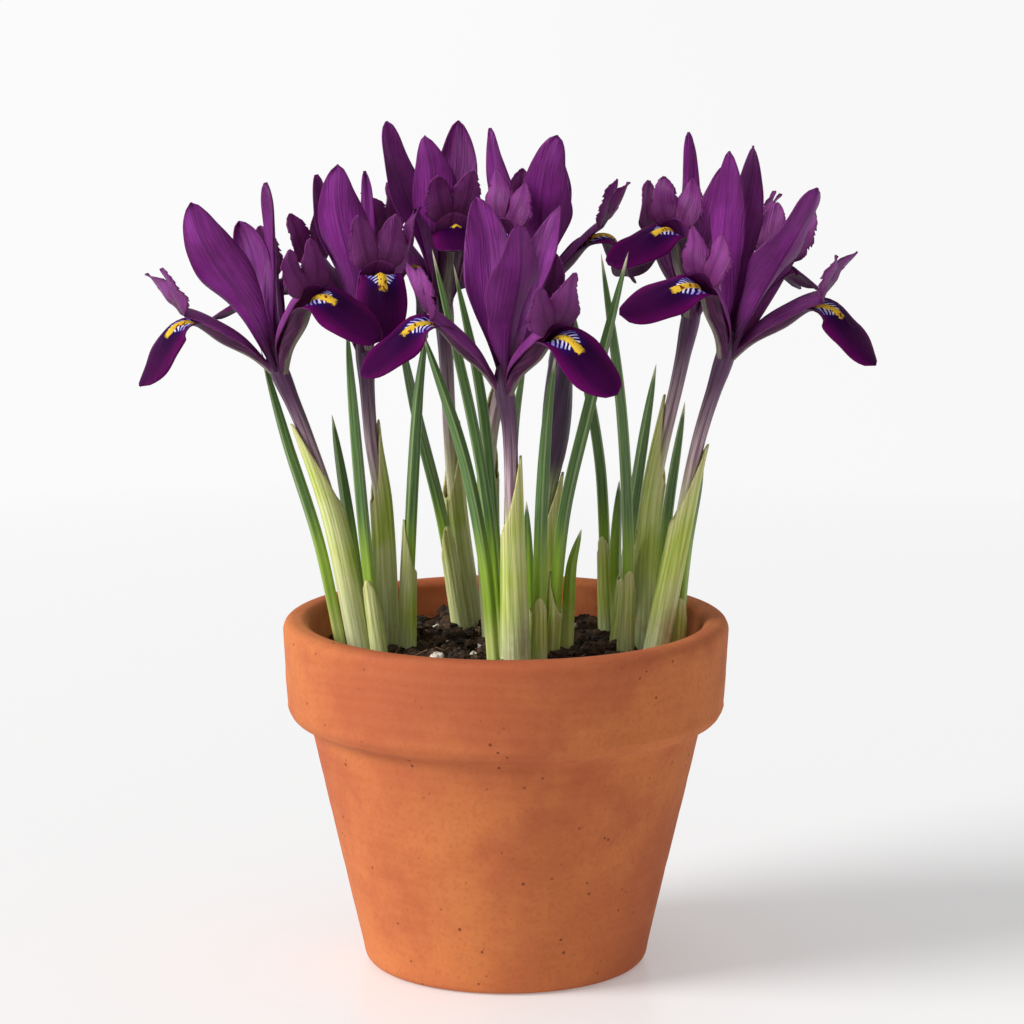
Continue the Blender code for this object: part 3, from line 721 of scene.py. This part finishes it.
def make_pot(clay):
    """The pot is turned from its outline, then pushed a little out of true, as a fired pot is."""
    inner, outer = LIP_INNER_ROUND, LIP_OUTER_ROUND
    collar_round = COLLAR_LOW - COLLAR_FOOT
    rim = (RIM_RADIUS, POT_HEIGHT - outer)
    mouth = (MOUTH_RADIUS, POT_HEIGHT - inner)
    wall_top = (WALL_TOP_RADIUS, WALL_TOP)
    floor_edge = (FLOOR_RADIUS, FLOOR + FLOOR_ROUND)
    profile = [
        *arc((MOUTH_RADIUS + inner, POT_HEIGHT - inner), inner, 180, 90, 7),
        *arc((RIM_RADIUS - outer, POT_HEIGHT - outer), outer, 90, 0, 9),
        *line(rim, (COLLAR_LOW_RADIUS, COLLAR_LOW), 8),
        *arc((COLLAR_LOW_RADIUS - collar_round, COLLAR_LOW), collar_round, 0, -80, 8),
        (WALL_TOP_RADIUS + 1.4, COLLAR_FOOT - 0.3),
        (WALL_TOP_RADIUS + 0.5, COLLAR_FOOT - 0.9),
        wall_top,
        *line(wall_top, (FOOT_RADIUS, FOOT_ROUND), 24),
        *arc((FOOT_RADIUS - FOOT_ROUND, FOOT_ROUND), FOOT_ROUND, -8, -90, 7),
        (DRAIN_RADIUS + 0.6, 0),
        (DRAIN_RADIUS, 0.6),
        (DRAIN_RADIUS, FLOOR),
        (FLOOR_RADIUS - 3, FLOOR),
        floor_edge,
        *line(floor_edge, mouth, 12),
    ]
    shape = spun(profile, POT_STEPS)
    for corner in shape.verts:
        spot = corner.co / MM
        out = math.hypot(spot.x, spot.y)
        if spot.z < 1 or out < DRAIN_RADIUS + 2:
            continue
        push = noise.noise(Vector((0, 0, spot.z * 0.9))) * RING_DEPTH
        push += noise.noise(spot * 0.03) * SWAY_DEPTH
        if out > RIM_RADIUS - 0.6:
            push = min(push, 0.0)
        corner.co.x *= 1 + push / out
        corner.co.y *= 1 + push / out
    finish_piece("clay_pot", shape, [clay], ["pot"])


def lump(x, y):
    """How far the peat's surface lies over its level at this place."""
    coarse = SOIL_LUMP * (
        math.sin(0.31 * x + 1.3) * math.cos(0.27 * y)
        + 0.6 * math.sin(0.52 * x - 0.44 * y + 2)
        + 0.4 * math.cos(0.71 * y + 0.35 * x)
    )
    clods = noise.fractal(Vector((x, y, 3)) * 0.42, 0.8, 2.2, 5)
    return coarse + clods


def feet():
    """Where each shoot and leaf leaves the peat, and how much room it needs."""
    found = [(STEMS[place][0], SHEATHS[place][2]) for place in STEMS]
    found.append((BUD_STEM[0], BUD_SHEATH[2]))
    found += [(points[0], LEAF_HALF_WIDTH + 0.5) for points in LEAVES.values()]
    return [(foot[0], foot[1], room) for foot, room in found]


def make_soil(peat, crumb, fibre, perlite):
    """The peat's body, then the crumbs, fibres and pale grains that lie on it."""
    side = FLOOR_RADIUS + (MOUTH_RADIUS - FLOOR_RADIUS) * SOIL_RISE - SOIL_GAP
    foot = FLOOR_RADIUS - 3.2
    bottom = FLOOR + 0.4

    def place(across, share):
        """The surface from its middle out, then the side down, then the bottom to its middle."""
        turn = across * math.pi
        down = ramp(share, SOIL_TOP_SHARE, SOIL_SIDE_SHARE)
        radius = side * min(share / SOIL_TOP_SHARE, 1) + (foot - side) * down
        radius *= 1 - ramp(share, SOIL_SIDE_SHARE, 1)
        x, y = radius * math.cos(turn), radius * math.sin(turn)
        if share <= SOIL_TOP_SHARE:
            height = SOIL_TOP + lump(x, y)
        else:
            height = SOIL_TOP + (bottom - SOIL_TOP) * down
        return Vector((x, y, height)), (x, y)

    shape = new_shape()
    add_sheet(shape, 120, 220, place, wrapped=True)
    bmesh.ops.recalc_face_normals(shape, faces=shape.faces)
    finish_piece("peat_bed", shape, [peat], ["soil"])

    draw = random.Random(7)
    taken = feet()

    def free_spot(room):
        while True:
            turn, radius = draw.uniform(0, math.tau), side * math.sqrt(draw.random())
            x, y = radius * math.cos(turn) * 0.985, radius * math.sin(turn) * 0.985
            if all(math.hypot(x - fx, y - fy) > width + room for fx, fy, width in taken):
                return Vector((x, y, SOIL_TOP + lump(x, y)))

    crumbs = new_shape()
    for _ in range(CRUMBS):
        size = 0.3 + 1.9 * draw.random() ** 4
        spot = free_spot(size * 0.4) + UP * size * 0.2
        add_lump(crumbs, spot, size, draw, 3 if size > 1.1 else 2)
    finish_piece("peat_crumbs", crumbs, [crumb])

    fibres = new_shape()
    for _ in range(FIBRES):
        spot = free_spot(1.0) + UP * 0.5
        length, wide = draw.uniform(2, 5.5), draw.uniform(0.12, 0.28)
        turn = Quaternion(UP, draw.uniform(0, math.tau))
        turn @= Quaternion((1, 0, 0), draw.uniform(1.1, 1.9))
        made = bmesh.ops.create_cone(
            fibres, cap_ends=True, segments=5, radius1=wide * MM, radius2=wide * 0.5 * MM,
            depth=length * MM,
        )["verts"]
        for corner in made:
            corner.co = turn @ corner.co + spot * MM
    finish_piece("peat_fibres", fibres, [fibre])

    grains = new_shape()
    for x, y, size in NEAR_GRAINS:
        spot = Vector((x, y, SOIL_TOP + lump(x, y) + size * 0.7))
        add_lump(grains, spot, size * 1.3, draw, 3)
    for _ in range(GRAINS - len(NEAR_GRAINS)):
        size = draw.uniform(0.5, 1.5)
        add_lump(grains, free_spot(size) + UP * size * 0.35, size, draw, 3)
    finish_piece("perlite_grains", grains, [perlite])


def add_lump(shape, spot, size, draw, detail):
    """Adds an uneven little lump of about this radius. It is made alone first, which is quicker."""
    lone = bmesh.new()
    bmesh.ops.create_icosphere(lone, subdivisions=detail, radius=1)
    stretch = Vector((draw.uniform(0.7, 1.2), draw.uniform(0.7, 1.2), draw.uniform(0.5, 0.9)))
    turn = Quaternion(UP, draw.uniform(0, math.tau))
    turn @= Quaternion((1, 0, 0), draw.uniform(-0.6, 0.6))
    shift = Vector((draw.uniform(-50, 50), draw.uniform(-50, 50), 0))
    for corner in lone.verts:
        rough = 1 + 0.6 * noise.noise(corner.co * 1.5 + shift)
        rough += 0.25 * noise.noise(corner.co * 4 + shift)
        corner.co = (turn @ (corner.co * stretch * rough * size) + spot) * MM
    data = bpy.data.meshes.new("lump")
    lone.to_mesh(data)
    lone.free()
    shape.from_mesh(data)
    bpy.data.meshes.remove(data)


# Blooms

def petal_frame(route, up, reach, share, roll):
    """A petal's width and inward directions at this share of its route."""
    heading = route.heading(share)
    width_way = up.cross(reach)
    width_way = (width_way - heading * width_way.dot(heading)).normalized()
    width_way.rotate(Quaternion(heading, math.radians(roll)))
    return width_way, heading.cross(width_way)


def add_fall(shape, throat, axis, knee, tip, roll, draw):
    """A fall: its haft climbs to the knee, and its broad blade hangs from there."""
    rise, drop = knee - throat, tip - knee
    out = (rise - axis * rise.dot(axis)).normalized()
    points = [throat + out * CLAW_RADIUS * 0.4 - axis * 4, throat + rise * 0.3 - axis * HAFT_DROP]
    points += [throat + rise * 0.65 - axis * HAFT_DROP, knee - rise * 0.06 - axis * 0.4]
    points += [knee + out * KNEE_REACH + drop * 0.06, knee + out * KNEE_REACH + drop * 0.36]
    points += [knee + out * 1.2 + drop * 0.68, tip]
    route = Route(points)
    reach = tip - points[0]
    blade = BLADE_HALF_WIDTH
    widths = ((0, 0.8), (0.08, 2.0), (0.2, 3.4), (0.38, 4.6), (0.5, 4.8), (0.6, 5.3),
              (0.72, blade), (0.84, blade * 0.98), (1, blade * 0.9))
    bends = ((0, 0.9), (0.12, 1.4), (0.3, 1.5), (0.45, 1.3), (0.56, 0.25), (0.66, -0.45),
             (1, -0.55))
    phase = draw.uniform(0, math.tau)

    def place(across, share):
        turned = along(((0, 0), (0.45, 0), (0.65, roll), (1, roll)), share)
        width_way, inward = petal_frame(route, axis, reach, share, turned)
        half = rounded(widths, share, 0.8)
        aside, lift = bent(across, half, along(bends, share))
        wave = 0.45 * math.sin(22 * share + phase) * abs(across) ** 3 * ramp(share, 0.5, 0.7)
        ridge = RIDGE_HEIGHT * math.exp(-(half * across / RIDGE_HALF_WIDTH) ** 2)
        ridge *= ramp(share, 0.5, 0.5625) * ramp(share, 0.78, 0.7175)
        point = route.point(share) + width_way * aside + inward * (lift + wave + ridge)
        return point, (half * across, (share - KNEE_SHARE) * route.length)

    add_sheet(shape, 44, 18, place, 0)


def add_style(shape, throat, axis, knee, turn, draw):
    """The style arm that roofs a haft, and the two toothed crest lobes at its end."""
    rise = knee - throat
    out = (rise - axis * rise.dot(axis)).normalized()
    side = axis.cross(out)
    over = axis * ARM_RISE
    points = [throat + out * ARM_ROOT_RADIUS - axis, throat + rise * 0.3 + over * 0.8]
    points += [throat + rise * 0.65 + over, throat + rise * 0.88 + over * 0.86]
    points += [throat + rise + over * 0.62]
    arm = Route(points)
    end = arm.point(1)
    widths = ((0, 0.7), (0.12, 1.9), (0.35, 4.8), (0.75, 6.0), (1, ARM_END_HALF))
    bends = ((0, 0.8), (0.3, 1.35), (0.8, 1.3), (1, ARM_END_BEND))

    def arm_place(across, share):
        half = along(widths, share)
        aside, drop = bent(across, half, along(bends, share))
        point = arm.point(share) + side * aside - axis * drop
        return point, (half * across, share * arm.length)

    add_sheet(shape, 22, 12, arm_place, 2)
    for hand in (-1, 1):
        add_lobe(shape, end, axis, out, turn, hand, draw)


def add_lobe(shape, end, axis, out, turn, hand, draw):
    """One crest lobe: broad, upright, and toothed along its outer margin."""
    length = LOBE_LENGTH * draw.uniform(0.9, 1.1)
    root, root_drop = bent(1, ARM_END_HALF, ARM_END_BEND)
    centre = ((0, root / 2), (0.35, 3.5), (0.75, 4.3), (1, 4.8 + draw.uniform(-0.6, 0.9)))
    widths = ((0, root / 2), (0.22, 3.2), (0.52, LOBE_HALF_WIDTH), (0.76, 3.0), (0.91, 1.6),
              (1, 0.1))
    away = ((0, 0), (0.3, 0.9), (0.7, 1.5), (1, 1.6 + draw.uniform(-0.6, 2.2)))
    teeth = draw.uniform(10, 13)
    phase = draw.uniform(0, math.tau)
    side = axis.cross(out)

    def place(across, share):
        spread = Quaternion(axis, math.radians(turn * ramp(share, 0, 0.4))) @ side
        half = max(along(widths, share), 0.1)
        edge = abs(across)
        tooth = (share * teeth + 0.4 * math.sin(5 * share + phase)) % 1
        depth = 0.34 if across * hand > 0 else 0.16
        depth *= ramp(share, 0.2, 0.45) * (0.6 + 0.4 * math.sin(23 * share + phase))
        half *= 1 - depth * tooth * edge ** 4
        aside = along(centre, share) + half * across * hand
        drop = root_drop * (aside / root) ** 2 * (1 - share)
        ruffle = 0.5 * math.sin(9 * share + phase + 2 * across) * edge
        cup = (ruffle - 0.1 * (half * across) ** 2) * ramp(share, 0, 1 / 3)
        point = end + spread * hand * aside + out * (along(away, share) + cup)
        return point + axis * (length * share - drop), (half * across, share * length + 8)

    add_sheet(shape, 44, 12, place, 2)


def add_standard(shape, throat, axis, tip, half_width, roll, draw):
    """A standard: a narrow claw that widens into a broad, blunt, slightly folded petal."""
    rise = tip - throat
    out = (rise - axis * rise.dot(axis)).normalized()
    points = [throat + out * CLAW_RADIUS - axis * 1.5, throat + rise * 0.3 + out * 0.8]
    points += [throat + rise * 0.6 + out * 1.2, throat + rise * 0.85 + out * 0.6, tip]
    route = Route(points)
    reach = tip - points[0]
    widths = ((0, 0.9), (0.1, 1.2), (0.24, half_width * 0.42), (0.42, half_width * 0.8),
              (0.58, half_width * 1.02), (0.76, half_width * 0.84), (0.9, half_width * 0.54),
              (1, half_width * 0.34))
    bends = ((0, 1.2), (0.3, 1.15), (0.6, 0.7), (1, 0.35))
    phase = draw.uniform(0, math.tau)
    beat = draw.uniform(9, 14)
    uneven = Vector((draw.uniform(-50, 50), draw.uniform(-50, 50), 0))
    sway = half_width * draw.choice((-0.24, -0.16, 0.16, 0.24))

    def place(across, share):
        turned = along(((0, 0), (0.4, roll), (1, roll)), share)
        width_way, inward = petal_frame(route, axis, reach, share, turned)
        half = rounded(widths, share, 0.88)
        margin = Vector((share * 3.5, 0, math.copysign(4, across)))
        half *= 1 + 0.14 * noise.noise(uneven + margin)
        aside, lift = bent(across, half, along(bends, share))
        wave = 0.13 * half * math.sin(beat * share + phase + 1.5 * across) * abs(across) ** 2.5
        wave += 0.9 * noise.noise(uneven + Vector((across * 1.2, share * 3, 9))) * share
        fold = -0.5 * math.exp(-(half * across / 0.8) ** 2) * ramp(share, 0, 1 / 3) * (1.1 - share)
        aside += sway * math.sin(math.tau * share) * share
        point = route.point(share) + width_way * aside + inward * (lift + wave + fold)
        return point, (half * across, share * route.length)

    add_sheet(shape, 40, 18, place, 1)


def add_tube(shape, points, radii):
    """A closed round rod along a route, with small ribs round it."""
    route = Route(points)

    def place(across, share):
        turn = across * math.pi
        far = ramp(share, 0.02, 0.98)
        radius = along(radii, far) * (1 + TUBE_RIBS * math.cos(6 * turn))
        if share < 0.01 or share > 0.99:
            radius = 0.0
        first, second = square_to(route.heading(share))
        point = route.point(far) + (first * math.cos(turn) + second * math.sin(turn)) * radius
        return point, (radius * turn, (1 - share) * route.length)

    add_sheet(shape, 60, 24, place, wrapped=True)


def make_bloom(place, finishes, tube_look):
    """A bloom's petals as one piece, and its tube as another."""
    name = "bloom_" + place
    stem = Route(STEMS[place])
    throat, axis = stem.point(1), stem.heading(1)
    spec = BLOOMS[place]
    draw = random.Random(name)
    shape = new_shape()
    for knee, tip, roll, turn in spec["falls"]:
        add_fall(shape, throat, axis, Vector(knee), Vector(tip), roll, draw)
        add_style(shape, throat, axis, Vector(knee), turn, draw)
    for tip, half_width, roll in spec["standards"]:
        add_standard(shape, throat, axis, Vector(tip), half_width, roll, draw)
    finish_piece("petals_" + place, shape, finishes, [name], PETAL_WALL, 3)
    tube = new_shape()
    points = rooted(STEMS[place]) + [throat + axis * THROAT_DEPTH]
    radii = ((0, TUBE_RADIUS), (0.7, TUBE_RADIUS), (0.84, TUBE_RADIUS + 0.2),
             (0.92, THROAT_RADIUS * 0.95), (0.965, THROAT_RADIUS * 0.85), (1, 1.0))
    add_tube(tube, points, radii)
    bmesh.ops.recalc_face_normals(tube, faces=tube.faces)
    finish_piece("tube_" + place, tube, [tube_look], [name])


def make_bud(look):
    """The rolled bud, whose three petals wrap each other in a spiral."""
    stem = Route(rooted(BUD_STEM))
    radii = ((0, 1.5), (0.46, 1.5), (0.52, 1.9), (0.62, 3.2), (0.71, 3.6), (0.83, 2.8),
             (0.92, 1.4), (1, 0.3))

    def place(across, share):
        turn = across * math.pi
        spiral = (turn - 3.4 * share) * 3 / math.tau
        step = (spiral % 1) ** 2
        radius = along(radii, share) * (0.95 + 0.13 * step * ramp(share, 0, 0.5))
        if share in (0.0, 1.0):
            radius = 0.0
        point = stem.point(share) + Vector((math.cos(turn), math.sin(turn), 0)) * radius
        return point, (radius * turn, share * stem.length)

    shape = new_shape()
    add_sheet(shape, 70, 48, place, wrapped=True)
    bmesh.ops.recalc_face_normals(shape, faces=shape.faces)
    finish_piece("rolled_bud", shape, [look], ["bud"])


# Sheaths and leaves

def add_sheath(shape, points, tip_height, tip_turn, foot_radius, mouth_radius, draw):
    """A papery sheath whose margins overlap, drawn up to a point on one side."""
    stem = Route(rooted(points))
    tip_share = stem.at_height(tip_height)
    phase = draw.uniform(0, math.tau)

    def place(across, share):
        turn = across * math.pi * SHEATH_OVERLAP + math.radians(tip_turn)
        tall = (1 + math.cos(across * math.pi)) / 2
        far = tip_share * share * (0.7 + 0.3 * tall ** 1.6)
        radius = foot_radius + (mouth_radius - foot_radius) * share
        radius *= along(((0, 0.95), (0.3, 1.0), (0.7, 0.98), (1, 0.93)), share)
        radius += 0.12 * math.sin(7 * turn + phase) * share + 0.18 * abs(across) ** 6
        radius -= SHEATH_WALL / 2
        radius += 0.06 * math.cos(16 * turn)
        point = stem.point(far) + Vector((math.cos(turn), math.sin(turn), 0)) * radius
        return point, (radius * turn, far * stem.length)

    add_sheet(shape, 26, 40, place)


def make_sheaths(look):
    """The sheath of each bloom's shoot and of the bud's."""
    draw = random.Random(11)
    specs = {place: (STEMS[place], *SHEATHS[place]) for place in STEMS}
    specs["bud"] = (BUD_STEM, *BUD_SHEATH)
    for place, (points, *size) in specs.items():
        shape = new_shape()
        add_sheath(shape, points, *size, draw)
        node = "sheath_" + place
        finish_piece("papery_" + node, shape, [look], [node], SHEATH_WALL)


def make_leaf(name, look, sheath_look, draw):
    """A leaf with four hollow faces between four ribs, and its own short sheath at its foot."""
    route = Route(rooted(LEAVES[name]))
    half = LEAF_HALF_WIDTH
    radii = ((0, half), (0.5, half), (0.75, half * 0.88), (0.9, half * 0.55), (1, 0.1))
    twist = draw.uniform(-0.5, 0.5)
    lean = draw.uniform(0.3, 1.1)

    def place(across, share):
        turn = across * math.pi
        radius = along(radii, share) * (0.84 + 0.2 * abs(math.cos(2 * turn)) ** 1.6)
        if share in (0.0, 1.0):
            radius = 0.0
        swing = turn + lean + twist * share
        first, second = square_to(route.heading(share))
        point = route.point(share) + (first * math.cos(swing) + second * math.sin(swing)) * radius
        return point, (radius * turn, share * route.length)

    shape = new_shape()
    add_sheet(shape, 48, 24, place, wrapped=True)
    bmesh.ops.recalc_face_normals(shape, faces=shape.faces)
    finish_piece("green_" + name, shape, [look], [name])
    if name in LEAF_SHEATHS:
        tall, turn = LEAF_SHEATHS[name]
        shape = new_shape()
        add_sheath(shape, LEAVES[name], SOIL_TOP + tall, turn, half + 0.75, half + 0.55, draw)
        finish_piece("papery_" + name, shape, [sheath_look], wall=0.3)


# Stage

def make_stage():
    """A white table that runs far back and glows a little, with painted light that leaves it brighter
    to the left; an even sky and one broad light from the left.
    """
    floor = Finish("stage floor", 0.3)
    floor.colour(paint(224, 224, 224))
    away = floor.put("VectorMath", {"operation": "LENGTH"})
    floor.join(floor.place(), away.inputs[0])
    near = floor.fade(away.outputs["Value"], 0.7, 0.15)
    floor.join(floor.times(near, 0.2), floor.shader.inputs["Specular IOR Level"])
    aside = floor.put("SeparateXYZ", Vector=floor.place()).outputs[0]
    floor.join((1, 1, 1, 1), floor.shader.inputs["Emission Color"])
    # Painted light: the table's glow is a little stronger on the left than on the right, as the light
    # from the left would leave it.
    glow = floor.fade(aside, -0.3, 0.3, FLOOR_GLOW, FLOOR_GLOW - 0.03)
    floor.join(glow, floor.shader.inputs["Emission Strength"])
    shape = new_shape()
    bmesh.ops.create_grid(shape, x_segments=1, y_segments=1, size=FLOOR_REACH)
    data = bpy.data.meshes.new("stage_floor")
    shape.to_mesh(data)
    shape.free()
    data.materials.append(floor.material)
    table = bpy.data.objects.new("stage_floor", data)
    bpy.context.scene.collection.objects.link(table)

    world = bpy.data.worlds.new("studio")
    world.use_nodes = True
    sky = world.node_tree.nodes["Background"]
    sky.inputs["Color"].default_value = (1, 1, 1, 1)
    sky.inputs["Strength"].default_value = SKY_STRENGTH
    bpy.context.scene.world = world

    lamp = bpy.data.lights.new("key", "SUN")
    lamp.energy = KEY_STRENGTH
    lamp.angle = math.radians(KEY_SPREAD)
    item = bpy.data.objects.new("key", lamp)
    item.rotation_mode = "QUATERNION"
    item.rotation_quaternion = (-Vector(KEY_FROM)).to_track_quat("-Z", "Y")
    bpy.context.scene.collection.objects.link(item)

    camera = bpy.data.cameras.new("camera")
    camera.lens = CAMERA_LENS
    camera.sensor_width = CAMERA_SENSOR
    item = bpy.data.objects.new("camera", camera)
    item.location = Vector(CAMERA_PLACE) * MM
    item.rotation_euler = (math.radians(90 - CAMERA_PITCH), 0, 0)
    bpy.context.scene.collection.objects.link(item)
    bpy.context.scene.camera = item
    bpy.context.scene.view_settings.view_transform = "Standard"


def main():
    make_pot(clay_finish())
    make_soil(
        peat_finish(),
        plain_finish("peat crumb", paint(34, 22, 15), paint(78, 54, 36), 300, 0.9, 0.3),
        plain_finish("peat fibre", paint(140, 104, 70), paint(80, 54, 36), 300, 0.85, 0.1),
        plain_finish("perlite", paint(232, 226, 216), paint(202, 192, 178), 500, 0.8, 0.4),
    )
    # The third colour of each is painted shade at the petal's foot.
    standard = petal_finish(
        "standard", paint(134, 42, 138), paint(96, 14, 96), paint(58, 4, 54), 0.45
    )
    crest = petal_finish(
        "crest", paint(146, 68, 144), paint(112, 34, 110), paint(76, 14, 66), 0.3
    )
    # Three finishes for the petals' undersides, then the same three for their faces
    finishes = [fall_back_finish(), standard, crest, fall_finish(), standard, crest]
    tube = tube_finish()
    for place in STEMS:
        make_bloom(place, finishes, tube)
    make_bud(bud_finish())
    sheath = sheath_finish()
    make_sheaths(sheath)
    leaf = leaf_finish()
    draw = random.Random(5)
    for name in LEAVES:
        make_leaf(name, leaf, sheath, draw)
    make_stage()


main()
